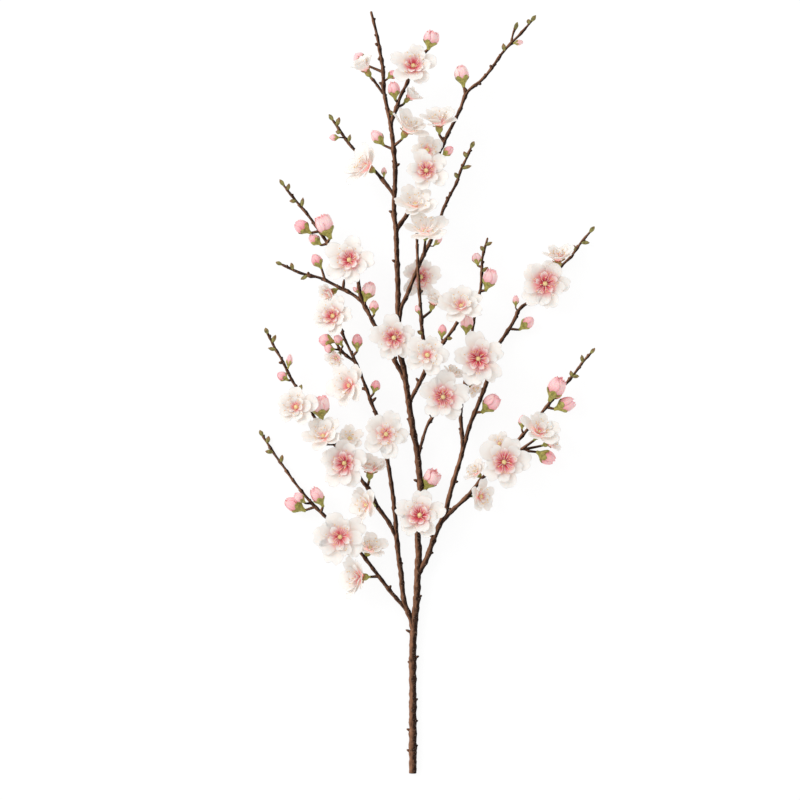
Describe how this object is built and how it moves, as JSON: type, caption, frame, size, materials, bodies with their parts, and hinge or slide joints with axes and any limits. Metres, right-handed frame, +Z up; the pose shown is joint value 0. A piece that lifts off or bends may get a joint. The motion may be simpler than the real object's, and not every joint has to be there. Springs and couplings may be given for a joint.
{
  "type": "plum blossom branch",
  "caption": "Cut flowering plum branch lying flat: a knobbly brown stem with side twigs, layered white and pink blossoms, pink buds and small green leaf buds",
  "frame": {"origin": "bottom centre of the branch's box, on the surface that it lies on", "axes": "+Y runs along the branch from its cut end to its tip, +Z points up from the surface, +X to the right seen from above with the tip away"},
  "size_m": [0.2308, 0.5212, 0.0458],
  "materials": {
    "bark": "rough brown bark with pale lenticels",
    "petal": "soft matte white to rose petals",
    "bud": "soft matte rose petals, folded"
  },
  "bodies": {
    "root": {"wood": "bark", "bloom_01": "petal", "bloom_02": "petal", "bloom_07": "petal", "bloom_09": "petal", "bloom_10": "petal", "bloom_11": "petal", "bloom_14": "petal", "bloom_16": "petal", "bloom_17": "petal", "bloom_18": "petal", "bloom_19": "petal", "bloom_24": "petal", "bloom_25": "petal", "bloom_26": "petal", "bloom_33": "petal", "bloom_34": "petal", "bloom_35": "petal", "bloom_37": "petal", "bloom_41": "petal", "bloom_42": "petal", "bloom_43": "petal", "bloom_44": "petal", "bloom_45": "petal", "bloom_49": "petal", "bloom_50": "petal", "bloom_51": "petal", "bloom_52": "petal", "bloom_53": "petal", "bloom_55": "petal", "bloom_56": "petal", "bloom_57": "petal", "bloom_58": "petal", "bloom_60": "petal", "bloom_61": "petal", "bloom_62": "petal", "bloom_63": "petal", "bloom_64": "petal", "bloom_65": "petal", "bloom_66": "petal", "bloom_72": "petal", "bloom_73": "petal", "bloom_79": "petal", "bloom_80": "petal", "bud_04": "bud", "bud_06": "bud", "bud_12": "bud", "bud_20": "bud", "bud_21": "bud", "bud_27": "bud", "bud_38": "bud", "bud_46": "bud", "bud_48": "bud", "bud_54": "bud", "bud_68": "bud", "bud_70": "bud", "bud_76": "bud", "bud_77": "bud", "bud_81": "bud", "bud_83": "bud"}
  },
  "joints": []
}
